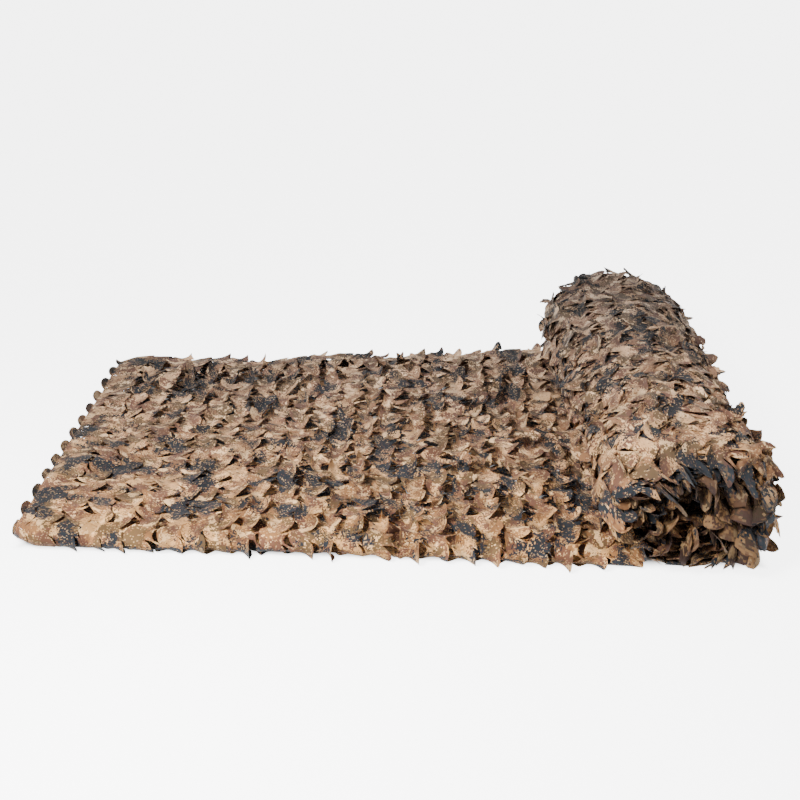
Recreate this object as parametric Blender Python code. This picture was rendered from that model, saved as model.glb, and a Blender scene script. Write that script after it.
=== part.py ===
"""Camouflage netting, partly unrolled: a leaf-cut cloth folded once along its length, rolled up at one end.

The loose end lies flat, with its rounded fold at the front (-Y), and runs right (+X) into the bottom of the roll.
The roll winds up over the right side and back down on the left, with its axis along Y. The floor is z = 0.
All sizes are in metres.
"""

import math
import random

import bmesh
import bpy
from mathutils import Vector
from mathutils.geometry import delaunay_2d_cdt

# The cloth. A leaf cell is one repeat of the cut: a leaf that points right and one that points left.
CLOTH = 0.003
CELL_LENGTH = 0.075
CELL_WIDTH = 0.1154
CELLS_ACROSS = 13
GAP = 0.0003
LIFT_SPREAD = 0.35

# The loose end.
LOOSE_CELLS = 21
LOOSE_END_X = -0.955
LOOSE_LEAF_LIFT = 0.023
FOLD_DEPTH = 0.036
FOLD_START = CELLS_ACROSS - 0.95
END_SCALLOP = 0.36
END_CURL = 0.075
EDGE_HEIGHT = 0.012
BACK_DROOP = 0.11
BACK_DROOP_SHARE = 0.45
BACK_SCALLOP = 0.12
RIDGE_CALM = 0.10
NIP_CALM = 2.5
FLAT_LEAVES = 0.45
UNDER_CLOTH_INSET = 0.35

# Sections of the loose end, from its cut end to the roll.
LOOSE_SECTIONS = (
    # x, front y, back y, height
    (-0.980, -0.640, 0.600, 0.050),
    (-0.880, -0.692, 0.625, 0.056),
    (-0.600, -0.702, 0.640, 0.050),
    (-0.250, -0.706, 0.668, 0.052),
    (0.100, -0.722, 0.700, 0.056),
    (0.350, -0.742, 0.738, 0.056),
    (0.480, -0.748, 0.752, 0.050),
    (0.530, -0.748, 0.752, 0.042),
    (0.580, -0.748, 0.752, 0.028),
    (0.630, -0.748, 0.752, 0.015),
)

# Soft ridges over the top layer.
RIDGES = (
    # height, length along x, length along y, phase
    (0.0040, 0.62, 1.10, 0.4),
    (0.0030, 0.33, -0.47, 1.9),
    (0.0020, -0.21, 0.26, 0.8),
)

# The roll: a flattened spiral about the axis through ROLL_X and ROLL_Z.
ROLL_X = 0.735
ROLL_Z = 0.155
ROLL_HALF_WIDTH = 0.222
ROLL_HALF_HEIGHT = 0.180
ROLL_HALF_LENGTH = 0.770
ROLL_CELLS = 17
ROLL_TURNS = 6
TURN_END = ROLL_CELLS - 1e-6
SLOPE_STEP = 0.1
TURN_SHRINK = 0.15
NIP_ANGLE = math.radians(240)
FLAT_SPOT_SHARE = 1 / 6
ROLL_LEAF_LIFT = 0.030
ROLL_LEAF_HEIGHTS = (0.030, 0.090)
SHOULDER = 0.080
SHOULDER_SHRINK = 0.10
END_DISH = 0.045
TURN_RIDGE = 0.016
TURN_HOLLOW = 0.005

# Stations along the roll, from its near end.
ROLL_STATIONS = (
    # y, width factor, height factor, sideways shift
    (-0.770, 1.000, 0.970, 0.004),
    (-0.500, 1.010, 1.000, 0.000),
    (-0.150, 0.985, 0.990, -0.004),
    (0.250, 1.000, 1.000, 0.002),
    (0.550, 0.990, 0.985, -0.003),
    (0.770, 0.980, 0.965, 0.000),
)

# One leaf cell, in shares of its length and width. The first leaf is cut free round its tip, and points right.
# The second is only raised, lies half a cell further on, and points left.
LEAF_POINTS = {
    # name: along, across, lift
    "cut front": (0.06, 0.17, -0.10),
    "cut back": (0.06, 0.83, -0.10),
    "cut tip": (0.38, 0.50, 1.00),
    "cut mouth": (0.50, 0.50, -0.20),
    "raised front": (0.92, 0.68, 0.00),
    "raised back": (0.92, 1.32, 0.00),
    "raised tip": (0.60, 1.00, 0.85),
}
LEAF_GAP = ("cut front", "cut mouth", "cut back", "cut tip")
LEAF_CREASES = (
    ("cut front", "cut back"),
    ("raised front", "raised tip"),
    ("raised tip", "raised back"),
)
EDGE_MARGIN = 0.12


def clear_scene():
    for obj in list(bpy.data.objects):
        bpy.data.objects.remove(obj)


def blend(low, high, value):
    """0 at low and 1 at high, with soft ends."""
    share = min(max((value - low) / (high - low), 0.0), 1.0)
    return share * share * (3 - 2 * share)


def read_table(table, place):
    """The values of the rows on both sides of this place, blended."""
    if place <= table[0][0]:
        return table[0][1:]
    for row, following in zip(table, table[1:]):
        if place <= following[0]:
            share = blend(row[0], following[0], place)
            return tuple(a + (b - a) * share for a, b in zip(row[1:], following[1:]))
    return table[-1][1:]


class LeafPlan:
    """The flat plan of a cut cloth, measured in cells: its outline, its creases and the gaps cut through it."""

    def __init__(self, outline, seed):
        self.points = []
        self.lifts = []
        self.edges = []
        self.gaps = []
        self.uneven = random.Random(seed)
        self.add_ring([self.add(along, across, 0.0) for along, across in outline])

    def add(self, along, across, lift):
        self.points.append((along, across))
        self.lifts.append(lift)
        return len(self.points) - 1

    def add_ring(self, ring):
        self.edges += zip(ring, ring[1:] + ring[:1])

    def add_leaves(self, columns, rows, cut):
        """Both leaves of every cell, but no point close to the end of the columns or past the last row."""
        for column in range(columns):
            for row in range(rows):
                self.add_cell(column, row, columns - EDGE_MARGIN, rows - EDGE_MARGIN, cut)

    def add_cell(self, column, row, most_along, most_across, cut):
        height = 1 + LIFT_SPREAD * self.uneven.uniform(-1, 1)
        index = {}
        for name, (along, across, lift) in LEAF_POINTS.items():
            if column + along < most_along and row + across < most_across:
                index[name] = self.add(column + along, row + across, lift * height)
        self.edges += [(index[a], index[b]) for a, b in LEAF_CREASES if a in index and b in index]
        gap = [index[name] for name in LEAF_GAP]
        self.add_ring(gap)
        if cut:
            self.gaps.append(gap)

    def triangles(self):
        """(points, lifts, triangles) of the plan, with the gaps left out."""
        flat = [Vector((along * CELL_LENGTH, across * CELL_WIDTH)) for along, across in self.points]
        made, _, faces, sources, _, covers = delaunay_2d_cdt(flat, self.edges, self.gaps, 1, 1e-7)
        if len(made) != len(self.points):
            raise ValueError("two lines of the leaf plan cross")
        order = [source[0] for source in sources]
        points = [self.points[i] for i in order]
        lifts = [self.lifts[i] for i in order]
        return points, lifts, [face for face, gap in zip(faces, covers) if not gap]


def spiral_share(along):
    """How far out the spiral is, as a share of the roll's outline. It stays full over the flat spot of a turn."""
    turn, part = divmod(along / ROLL_CELLS, 1.0)
    drop = max(0.0, part - FLAT_SPOT_SHARE) / (1 - FLAT_SPOT_SHARE)
    return 1 - TURN_SHRINK * (turn + drop)


def roll_section(along, y):
    """(x, z) of the spiral, this many cells from the nip, at this station."""
    width, height, shift = read_table(ROLL_STATIONS, y)
    edge = min((ROLL_HALF_LENGTH - abs(y)) / SHOULDER, 1.0)
    rounding = 1 - SHOULDER_SHRINK * (1 - edge) ** 2
    angle = NIP_ANGLE + math.tau * along / ROLL_CELLS
    x = ROLL_HALF_WIDTH * width * rounding * math.cos(angle)
    z = max(ROLL_HALF_HEIGHT * height * rounding * math.sin(angle), -ROLL_Z)
    share = spiral_share(along)
    return ROLL_X + shift + share * x, ROLL_Z + share * z


def roll_point(along, across, lift):
    """A point of the roll's outer turn. Its leaves lie flat near the floor and in the nip."""
    y = ROLL_HALF_LENGTH * (2 * across / CELLS_ACROSS - 1)
    x, z = roll_section(min(along, TURN_END), y)
    before = roll_section(max(along - SLOPE_STEP, 0.0), y)
    after = roll_section(min(along + SLOPE_STEP, TURN_END), y)
    tangent = (Vector(after) - Vector(before)).normalized()
    raise_by = ROLL_LEAF_LIFT * lift * blend(*ROLL_LEAF_HEIGHTS, z)
    return Vector((x + tangent.y * raise_by, y, z - tangent.x * raise_by))


def nip_x(y, z):
    """How far along the roll's inner step lies, where the loose end meets it."""
    low_x, low_z = roll_section(0.0, y)
    high_x, high_z = roll_section(TURN_END, y)
    return low_x + (high_x - low_x) * (z - low_z) / (high_z - low_z)


def ridge_height(x, y):
    return sum(
        height * math.sin(math.tau * (x / along + y / across) + phase)
        for height, along, across, phase in RIDGES
    )


def loose_point(along, across, lift):
    """A point of the loose end: its top layer, then round the fold at the front, then its under layer."""
    floor_nip = roll_section(0.0, 0.0)[0]
    x = LOOSE_END_X + (floor_nip - LOOSE_END_X) * along / LOOSE_CELLS
    front, back, height = read_table(LOOSE_SECTIONS, x)
    curl = min((along + END_SCALLOP) * CELL_LENGTH / END_CURL, 1.0)
    height = EDGE_HEIGHT + (height - EDGE_HEIGHT) * math.sqrt(max(1 - (1 - curl) ** 2, 0.0))
    inner = front + FOLD_DEPTH
    if across <= FOLD_START:
        y = back + (inner - back) * across / FOLD_START
        calm = curl * blend(LOOSE_CELLS, LOOSE_CELLS - NIP_CALM, along) * blend(0.0, RIDGE_CALM, y - inner)
        droop = BACK_DROOP_SHARE * (1 - blend(0.0, BACK_DROOP, back - y))
        z = height * (1 - droop) + ridge_height(x, y) * calm
        out = Vector((0.0, 0.0, 1.0))
    elif across <= CELLS_ACROSS:
        turn = math.pi * (across - FOLD_START) / (CELLS_ACROSS - FOLD_START)
        y = inner - FOLD_DEPTH * math.sin(turn)
        z = CLOTH / 2 + (height - CLOTH / 2) * (1 + math.cos(turn)) / 2
        out = Vector((0.0, -height * math.sin(turn), 2 * FOLD_DEPTH * math.cos(turn))).normalized()
    else:
        y = inner + (back - inner) * (across / CELLS_ACROSS - 1)
        z = CLOTH / 2
        out = Vector((0.0, 0.0, -1.0))
    end = nip_x(y, z) - CLOTH / 2 - GAP
    x = LOOSE_END_X + (end - LOOSE_END_X) * along / LOOSE_CELLS
    nip_share = blend(LOOSE_CELLS - FLAT_LEAVES, LOOSE_CELLS - NIP_CALM, along)
    floor_share = blend(CELLS_ACROSS, CELLS_ACROSS - FLAT_LEAVES, across)
    return Vector((x, y, z)) + out * LOOSE_LEAF_LIFT * lift * nip_share * floor_share


def loose_outline():
    """Round the plan of the loose end, in cells: its scalloped cut end, its under layer and the roll's nip."""
    for row in range(CELLS_ACROSS):
        yield 0.0, row
        yield -0.8 * END_SCALLOP, row + 0.25
        yield -END_SCALLOP, row + 0.5
        yield -0.8 * END_SCALLOP, row + 0.75
    yield 0.0, CELLS_ACROSS
    yield UNDER_CLOTH_INSET, CELLS_ACROSS + 0.5
    yield UNDER_CLOTH_INSET, 2 * CELLS_ACROSS
    for half in range(4 * CELLS_ACROSS, 0, -1):
        yield LOOSE_CELLS, half / 2
    for column in range(LOOSE_CELLS, 0, -1):
        yield column, 0.0
        yield column - 0.5, -BACK_SCALLOP


def roll_outline():
    """Round the plan of the roll's outer turn, in cells, with a point each half cell."""
    halves_along = [half / 2 for half in range(2 * ROLL_CELLS)]
    halves_across = [half / 2 for half in range(2 * CELLS_ACROSS)]
    yield from ((along, 0.0) for along in halves_along)
    yield from ((ROLL_CELLS, across) for across in halves_across)
    yield from ((ROLL_CELLS - along, CELLS_ACROSS) for along in halves_along)
    yield from ((0.0, CELLS_ACROSS - across) for across in halves_across)


def sheet_mesh(plan, place):
    """(bmesh, its points by their place in the plan) of a plan laid on a surface."""
    points, lifts, triangles = plan.triangles()
    mesh = bmesh.new()
    made = {}
    verts = []
    for point, lift in zip(points, lifts):
        verts.append(mesh.verts.new(place(*point, lift)))
        made[point] = verts[-1]
    for triangle in triangles:
        mesh.faces.new([verts[i] for i in triangle])
    loose = [vert for vert in mesh.verts if not vert.link_faces]
    bmesh.ops.delete(mesh, geom=loose, context="VERTS")
    return mesh, made


def add_roll_end(mesh, made, across):
    """Closes one end of the roll with the spiral of its turns. Returns the ridge point at the nip."""
    per_turn = 2 * ROLL_CELLS
    side = 1 if across else -1

    def end_point(half, share_in, ridge):
        along = half / 2
        x, z = roll_section(along, side * ROLL_HALF_LENGTH)
        further_x, further_z = roll_section(along + ROLL_CELLS, side * ROLL_HALF_LENGTH)
        x += (further_x - x) * share_in
        z += (further_z - z) * share_in
        dish = END_DISH * (1 - (spiral_share(along) + spiral_share(along + ROLL_CELLS)) / 2)
        return mesh.verts.new((x, side * (ROLL_HALF_LENGTH + ridge - dish), z))

    grooves = [made[(float(half / 2), float(across))] for half in range(per_turn + 1)]
    grooves += [end_point(half, 0.0, 0.0) for half in range(per_turn + 1, ROLL_TURNS * per_turn + 1)]
    ridges = []
    for half in range((ROLL_TURNS - 1) * per_turn + 1):
        ridges.append(end_point(half, 0.5, TURN_HOLLOW if half % 2 else TURN_RIDGE))
    for half in range(len(ridges) - 1):
        mesh.faces.new((grooves[half], grooves[half + 1], ridges[half + 1], ridges[half]))
        inner, next_inner = grooves[half + per_turn], grooves[half + per_turn + 1]
        mesh.faces.new((ridges[half], ridges[half + 1], next_inner, inner))
    hub = grooves[len(ridges) - 1 :] + [ridges[-1]]
    mesh.faces.new(hub)
    return ridges[0]


def add_nip_step(mesh, made, near_ridge, far_ridge):
    """Closes the step at the nip, where the outer turn starts over the next one."""
    rows = [half / 2 for half in range(2 * CELLS_ACROSS + 1)]
    for row, following in zip(rows, rows[1:]):
        corners = [made[(ROLL_CELLS, row)], made[(ROLL_CELLS, following)]]
        corners += [far_ridge] * (following == rows[-1])
        corners += [made[(0.0, following)], made[(0.0, row)]]
        corners += [near_ridge] * (row == rows[0])
        mesh.faces.new(corners)


def cloth_material(name, colour, roughness):
    material = bpy.data.materials.new(name)
    material.use_nodes = True
    shader = material.node_tree.nodes["Principled BSDF"]
    shader.inputs["Base Color"].default_value = (*colour, 1.0)
    shader.inputs["Roughness"].default_value = roughness
    shader.inputs["Metallic"].default_value = 0.0
    material.diffuse_color = (*colour, 1.0)
    return material


def add_object(name, mesh, material, parent):
    data = bpy.data.meshes.new(name)
    mesh.to_mesh(data)
    mesh.free()
    data.materials.append(material)
    obj = bpy.data.objects.new(name, data)
    obj.parent = parent
    bpy.context.scene.collection.objects.link(obj)
    return obj


def make_loose_end(parent):
    plan = LeafPlan(loose_outline(), seed=3)
    plan.add_leaves(LOOSE_CELLS, CELLS_ACROSS, cut=True)
    mesh, _ = sheet_mesh(plan, loose_point)
    material = cloth_material("laid_camouflage_cloth", (0.42, 0.32, 0.22), 0.85)
    loose_end = add_object("net_loose_end", mesh, material, parent)
    thickness = loose_end.modifiers.new("cloth", "SOLIDIFY")
    thickness.thickness = CLOTH
    thickness.offset = 0.0
    return loose_end


def make_roll(parent):
    plan = LeafPlan(roll_outline(), seed=8)
    plan.add_leaves(ROLL_CELLS, CELLS_ACROSS, cut=False)
    mesh, made = sheet_mesh(plan, roll_point)
    near_ridge = add_roll_end(mesh, made, 0)
    far_ridge = add_roll_end(mesh, made, CELLS_ACROSS)
    add_nip_step(mesh, made, near_ridge, far_ridge)
    bmesh.ops.recalc_face_normals(mesh, faces=mesh.faces)
    bmesh.ops.triangulate(mesh, faces=mesh.faces)
    material = cloth_material("rolled_camouflage_cloth", (0.36, 0.28, 0.20), 0.85)
    return add_object("net_roll", mesh, material, parent)


def main():
    clear_scene()
    net = bpy.data.objects.new("netting", None)
    bpy.context.scene.collection.objects.link(net)
    make_loose_end(net)
    make_roll(net)


main()
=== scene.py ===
"""Dresses the leaf-cut camouflage netting: its laid-out end, its roll and the plain stage they lie on.

The cloth is one long sheet, folded once along its middle. Places on its smooth surface are measured in the
solid part's cells: along its length, and in rows across its width, from the under layer's back edge round
the fold at the front to the top layer's back edge. Tiles of cloth, each a triangle with one leaf cut in it,
are set side by side on the flat plan, and the plan is then laid on that surface with its leaves raised.
"""

import math

import bpy
import numpy as np
from bpy.props import FloatProperty, FloatVectorProperty, PointerProperty
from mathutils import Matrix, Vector
from mathutils.geometry import delaunay_2d_cdt


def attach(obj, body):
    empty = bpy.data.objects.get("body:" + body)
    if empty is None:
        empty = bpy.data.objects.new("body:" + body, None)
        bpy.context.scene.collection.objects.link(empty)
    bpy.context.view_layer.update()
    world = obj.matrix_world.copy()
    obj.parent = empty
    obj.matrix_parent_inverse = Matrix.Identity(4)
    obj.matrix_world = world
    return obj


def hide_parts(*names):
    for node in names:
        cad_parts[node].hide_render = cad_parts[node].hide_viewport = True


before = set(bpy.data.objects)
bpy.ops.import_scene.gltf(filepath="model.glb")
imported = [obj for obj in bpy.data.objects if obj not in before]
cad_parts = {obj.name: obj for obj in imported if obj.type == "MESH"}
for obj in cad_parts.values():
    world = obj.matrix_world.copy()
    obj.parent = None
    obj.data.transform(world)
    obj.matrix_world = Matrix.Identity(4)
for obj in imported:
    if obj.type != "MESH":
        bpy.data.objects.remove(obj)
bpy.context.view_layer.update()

bl_info = {
    "name": "Leaf-cut camouflage netting",
    "version": (1, 0, 0),
    "blender": (4, 5, 0),
    "location": "3D View > Sidebar > Netting",
    "description": "Makes a half-unrolled length of leaf-cut camouflage netting from its cut and print",
    "category": "Add Mesh",
}

# Three values for one change are its height and the places where it starts and is full, or, for a hump,
# its height, middle and spread. Two values, such as rows or heights, are where it starts and is full.

# The solid part's cells, in metres, and how many there are across one layer and the whole sheet.
CELL_LENGTH = 0.075
CELL_WIDTH = 0.1154
LAYER_CELLS = 13
SHEET_CELLS = 2 * LAYER_CELLS
CLOTH = 0.003
GAP = 0.0003

# The laid-out end: x, front y, back y and height of its top layer.
LAID_CELLS = 21
LAID_END_X = -0.955
LAID_SECTIONS = (
    (-0.980, -0.640, 0.600, 0.050),
    (-0.880, -0.692, 0.625, 0.056),
    (-0.600, -0.702, 0.640, 0.050),
    (-0.250, -0.706, 0.668, 0.052),
    (0.100, -0.722, 0.700, 0.056),
    (0.350, -0.742, 0.738, 0.056),
    (0.480, -0.748, 0.752, 0.050),
    (0.530, -0.748, 0.752, 0.042),
    (0.580, -0.748, 0.752, 0.028),
    (0.630, -0.748, 0.752, 0.015),
)
# The fold's depth and the cells that turn round it, how far in the cut end starts to curl down, how many
# cells its flaps stand out, and how high its edge is.
FOLD_DEPTH = 0.036
FOLD_CELLS = 0.95
END_CURL = 0.075
END_SCALLOP = 0.42
EDGE_HEIGHT = 0.034
# The scalloped flaps of the cut end: how far they turn up and reach out, the share of their pitch that they
# fill, what they are scaled along by and how dark they are painted, a painted shade for their sides turned
# from the light. On the fold they have a share of their reach, and get the rest over these rows.
FLAP_RISE = 0.024
FLAP_REACH = 0.017
FLAP_SHARE = 0.74
FLAP_LENGTHS = (0.65, 1.0)
FLAP_PAINTED_SHADES = (-0.85, -0.45)
FOLD_FLAP_REACH = 0.3
FLAP_ROWS = (LAYER_CELLS + 0.1, LAYER_CELLS + 1.0)
# The top layer comes down to the floor over this depth at its back edge.
BACK_DROOP = 0.055
# The under layer's back edge turns up inside the top layer's: over how many cells of its width, how far it
# leans in, how far inside it lies towards its back, and its share of the top layer's height.
HEM_CELLS = 0.7
HEM_REACH = 0.060
HEM_INSET = (0.018, 4.0, 0.0)
HEM_HEIGHT = 0.92
# How much the top layer rises before its back edge, and how far the cut end draws in towards the front.
BACK_RISE = 0.016
BACK_RISE_ROWS = (SHEET_CELLS - 5.0, SHEET_CELLS - 1.0)
END_SKEW = (0.020, 0.3, -0.7)
# The top layer lies smooth this near its front, and both calm down over this many cells before the roll,
# with flat leaves in the last ones.
RIDGE_CALM = 0.10
NIP_CALM = 2.5
FLAT_LEAVES = 0.45
# The under layer's height, and how high it swells behind the fold. At the cut end it is drawn up to just
# under the top layer.
UNDER_HEIGHT = 0.004
UNDER_SWELL = (0.020, LAYER_CELLS - 0.4, LAYER_CELLS - 1.6)
BACK_EDGE_ROWS = (0.0, 1.2)
UNDER_GAP = 0.010
CUT_END_CELLS = (0.2, 1.4)
CUT_END_ROWS = (LAYER_CELLS, LAYER_CELLS - 1.0)
# Ridges over the laid-out end: height, length along x, length along y, phase.
RIDGES = ((0.0060, 0.62, 1.10, 0.4), (0.0050, 0.33, -0.47, 1.9), (0.0035, -0.21, 0.26, 0.8))

# How freely the leaves of the laid-out end lift, from 0 to 1: everywhere, and what the under layer, the
# fold and the top layer add. The under layer's leaves lie flat near its front, its back and the cut end.
LEAST_SLACK = 0.02
UNDER_SLACK = 0.34
UNDER_FRONT_ROWS = (LAYER_CELLS - 0.8, LAYER_CELLS - 2.0)
UNDER_BACK_ROWS = (0.6, 1.8)
UNDER_END_CELLS = (0.6, 2.0)
FOLD_SLACK = (0.62, LAYER_CELLS + 0.05, LAYER_CELLS + 0.30)
TOP_SLACK = (0.36, LAYER_CELLS + 0.7, LAYER_CELLS + 1.5)
# The share of it that is left at the cut end, and on the slope behind the top layer's calm back rows.
END_SLACK = 0.04
END_SLACK_CELLS = (0.55, 1.8)
SLOPE_SLACK = (0.75, SHEET_CELLS - 0.58, SHEET_CELLS - 0.46)
CALM_ROWS = (SHEET_CELLS - 1.25, SHEET_CELLS - 1.0)
# The taut patch near the cut corner: how taut it is, and its middle and spread in x and in y.
TAUTNESS = 0.75
TAUT_X = (-0.70, 0.30)
TAUT_Y = (-0.32, 0.45)
LAID_PULL = -0.12
# The share of leaves with a round outline: the least, and more at the fold, the cut end and the back.
LEAST_ROUND = 0.25
ROUND_ON_FOLD = (1.0, LAYER_CELLS + 0.4, 1.3)
ROUND_AT_END = (0.7, 1.0, 3.5)
ROUND_AT_BACK = (0.9, SHEET_CELLS - 1.2, 1.0)

# The roll: a flattened spiral about an axis along y.
ROLL_X = 0.735
ROLL_Z = 0.155
ROLL_HALF_WIDTH = 0.222
ROLL_HALF_HEIGHT = 0.180
ROLL_HALF_LENGTH = 0.770
# The winding: the cells of one turn, the turns, what shares of the section a turn and a layer take off it,
# the angle where the loose end meets it, and the share of a turn that lies flat before it closes in.
ROLL_CELLS = 17
ROLL_TURNS = 6
TURN_END = ROLL_CELLS - 1e-6
TURN_SHRINK = 0.15
LAYER_SHRINK = 0.048
NIP_ANGLE = math.radians(240)
FLAT_SPOT_SHARE = 1 / 6
# The roll's ends: how far in they start to round off and how much, how deep they are dished, and half the
# cells and the depth of the fold.
SHOULDER = 0.170
SHOULDER_SHRINK = 0.26
END_DISH = 0.048
ROLL_FOLD_CELLS = 0.27
ROLL_FOLD_DEPTH = 0.025
# How far, as a share of the section, each turn's two layers swell apart at the roll's ends, and how deep.
# The outer turn's outer layer swells only once it is wound in, between these cells.
END_SWELL = 0.034
SWELL_DEPTH = 0.16
WOUND_IN_CELLS = (ROLL_CELLS - 3, ROLL_CELLS + 2)
# How unevenly the inner turns' ends stand out: height, cells along, length along y, phase.
END_WAVES = ((0.008, 5.3, 1e9, 0.4), (0.007, 3.1, 1e9, 1.3), (0.004, 1.7, 1e9, 2.9))
# How loosely the cloth's open edge hangs at the roll's far end, over this share of the roll's length, and
# how much closer and lower its waves in and out of the roll are than those along it.
FRINGE = ((0.012, 1.31, 1e9, 0.0), (0.009, 0.83, 1e9, 0.7))
FRINGE_SHARE = 0.10
FRINGE_PITCH = 1.3
FRINGE_RISE = 0.35
# The outer turn goes on past its own start, under the turn's end, and the inner turns lie between these
# cells.
OUTER_CELLS = ROLL_CELLS + 3
INNER_TURNS = (OUTER_CELLS - 2.0, ROLL_CELLS * (ROLL_TURNS - 0.4))
# How far the outer turn's cloth stands off the wound section, the heights over which it comes to do so, and
# the share of it that the middle of the roll keeps. It stands off more on the flanks, towards the far end
# and at the far rim.
ROLL_LOFT = 0.014
LOFT_HEIGHTS = (0.02, 0.10)
INNER_LOFT = 0.3
FLANK_LOFT = 1.3
FAR_LOFT = (0.008, -0.4, 0.5)
RIM_LOFT = (0.032, 0.58, 0.74)
# The turn behind the outer one: its size as a share of the outer one's, the rows that it spans and its
# shade, set high as painted light in the hollows that show through the cuts.
SECOND_TURN = 0.955
SECOND_ROWS = (0.3, LAYER_CELLS - 0.5)
SECOND_TURN_PAINTED_LIGHT = 0.9
# Stations along the roll: y, width factor, height factor, shift.
ROLL_STATIONS = (
    (-0.770, 1.000, 0.970, 0.004),
    (-0.500, 1.010, 1.000, 0.0),
    (-0.150, 0.985, 0.990, -0.004),
    (0.250, 1.0, 1.0, 0.002),
    (0.550, 0.990, 0.985, -0.003),
    (0.770, 0.980, 0.965, 0.0),
)
# Lumps over the roll: height, cells along, length along y, phase.
LUMPS = ((0.0050, 5.7, 0.61, 0.3), (0.0045, -3.4, 0.37, 2.1), (0.0030, 2.3, 0.23, 4.4))
# How freely the roll's leaves lift: the share near the floor, how much less on top, and how much more in a
# band near the near end.
FLOOR_SLACK = 0.10
FLOOR_HEIGHTS = (0.02, 0.09)
TOP_CALM = (0.20, 0.30, 0.36)
NEAR_SLACK = (0.30, LAYER_CELLS - 3.5, 2.2)
# Which way the roll's leaves hang: down, more so at the near end, and out over both ends.
HANG = 0.22
NEAR_PULL, NEAR_PULL_ROWS = 0.50, 1.3
FAR_PULL, FAR_PULL_ROWS = 0.45, 1.6
ROUND_ON_ROLL = 0.20
ROUND_AT_NEAR_END = (0.45, LAYER_CELLS, 0.8)

# One tile of the cut: a triangle whose base holds the leaf's root.
LAID_TILES = 24
LAYER_TILES = 15
TILE_LENGTH = LAID_CELLS * CELL_LENGTH / LAID_TILES
TILE_WIDTH = LAYER_CELLS * CELL_WIDTH / LAYER_TILES
# The layer that shows goes on round the fold by this many tiles.
FOLD_TILES = 1
SCALLOP_WIDTH = CELL_WIDTH
SIDE_STEPS = 9
BASE_STEPS = 10
# The cloth sags within this width of a cut, fully from this share of a tile past the leaf's root.
LIP_WIDTH = 0.010
LIP_START = 0.4
# Below this slack a cut starts to close.
SHUT_SLACK = 0.22
# A leaf lies this much above its tile, and only points closer than the second length are joined.
LEAF_LIFT = 0.0005
JOIN_WITHIN = 0.0002
# How the leaves of each form lie: the share that curl back, the share that twist towards a higher row, and
# how much further than the settings say they lean and twist.
LAID_LEAVES = {"inward": 0.3, "turned": 0.75, "wild": 1.0}
ROLLED_LEAVES = {"inward": 0.68, "turned": 0.4, "wild": 1.5}
# Leaves in the roll's near end are painted darker, a painted shade in its recessed end, and those at its
# far end are a little darker and stand up more. Both ends are this many tiles deep.
NEAR_END_LEAVES = {"Shade Least": -0.50, "Shade Most": -0.10, "Raise Least": 0.3, "Raise Most": 1.2}
FAR_END_LEAVES = {"Shade Least": -0.20, "Shade Most": 0.80, "Raise Least": 0.5, "Raise Most": 1.5}
NEAR_END_TILES = 4
FAR_END_TILES = 2
# How much of their slack leaves keep in the calmest spots, and how much more they get in the wildest.
CALM_PATCH = 0.25
PATCHINESS = 1.5
# The length over which a leaf gets its curl, how far its sides cup, and how far inside the edges it strays.
LEAF_LENGTH = 0.6 * TILE_LENGTH
CUP = 0.35
STRAY_MARGIN = 0.06
# The noise behind the straying, the patches of slack and the ripples: how far a seed shifts it, its scale
# and its detail.
STRAY_NOISE = (1.3, 6.0, 2.0)
SLACK_NOISE = (2.3, 7.0, 2.0)
RIPPLE_NOISE = (3.7, 17.0, 1.5)

# How finely the smooth sheets are divided: steps a cell across and along, and lengths of winding.
ROW_STEPS = 14
LAID_STEPS = 12
WINDING_STEP = CELL_LENGTH / 10
SECOND_STEP = CELL_LENGTH / 3

# The print's layers, each laid over the last: colour, size of its squares, noise scale, seed, which ragged
# edge it has and how much of it, and the noise above which it shows.
PRINT_LAYERS = (
    ("tan", "broad", 11.0, 1, 0, 1.0, 0.475),
    ("brown", "fine", 14.0, 2, 1, 1.0, 0.535),
    ("olive", "fine", 12.0, 3, 0, 1.0, 0.57),
    ("fleck", "fine", 26.0, 5, 1, 1.0, 0.62),
    ("slate", "broad", 8.0, 9, 1, 0.7, 0.567),
)
RAGGED_FINE = 0.13
RAGGED_BROAD = 0.09
# How far one seed moves a patch's noise and the squares.
PATCH_SHIFT = (3.1, 1.7)
SQUARE_SHIFT = (0.8, 0.4)
# Single squares: colour, seed and the random number above which they show, and how strongly.
SPECKS = (("fleck", 5, 0.90), ("brown", 6, 0.88))
SPECK_STRENGTH = 0.45
# Wear and painted dimming: the y over which the colours fade towards the far end, how faded the near end
# is, the heights over which the roll's upper side fades too, and by how much. The fading stands partly for
# wear and partly for the far end's dimmer light, painted in.
FADING_SPAN = (-0.7, 0.8)
NEAR_FADING = 0.04
HIGH_SPAN = (0.08, 0.32)
HIGH_FADING = 0.20
# How even the wear is: its noise's scale, seed and detail, its least share and what the noise adds. Worn
# and dimmed cloth loses this much of its colour, and the far end's upper side is painted darker, a painted
# shade.
WEAR_NOISE = (5.0, 6, 4.0)
WEAR_LEAST = 0.6
WEAR_RANGE = 0.8
WORN_PALENESS = 0.45
FAR_SHADOW = 0.1
FAR_TOP_SHADOW = 3
# Painted shade on the roll's near end: the y and the x over which it comes in, and how much of the print it
# hides under slate.
PAINTED_END_SHADE_Y = (-0.70, -0.79)
PAINTED_END_SHADE_X = (0.56, 0.70)
PAINTED_END_SHADE = 0.55
# The cloth's brightness: the least, what a leaf's own shade adds and what wear adds. A leaf's shade is a
# random tone, and a painted shade or painted light where a piece sets its range.
LEAST_BRIGHTNESS = 0.52
SHADE_BRIGHTNESS = 0.50
WORN_BRIGHTNESS = 0.25
# The weave's threads and how high they are, the small creases' noise as its scale, seed and detail, and how
# rough the cloth is and how much that differs between squares.
THREADS = 180.0
THREAD_HEIGHT = 0.25
CREASE_NOISE = (60.0, 7, 3.0)
ROUGHNESS = 0.68
ROUGHNESS_RANGE = 0.10

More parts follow.
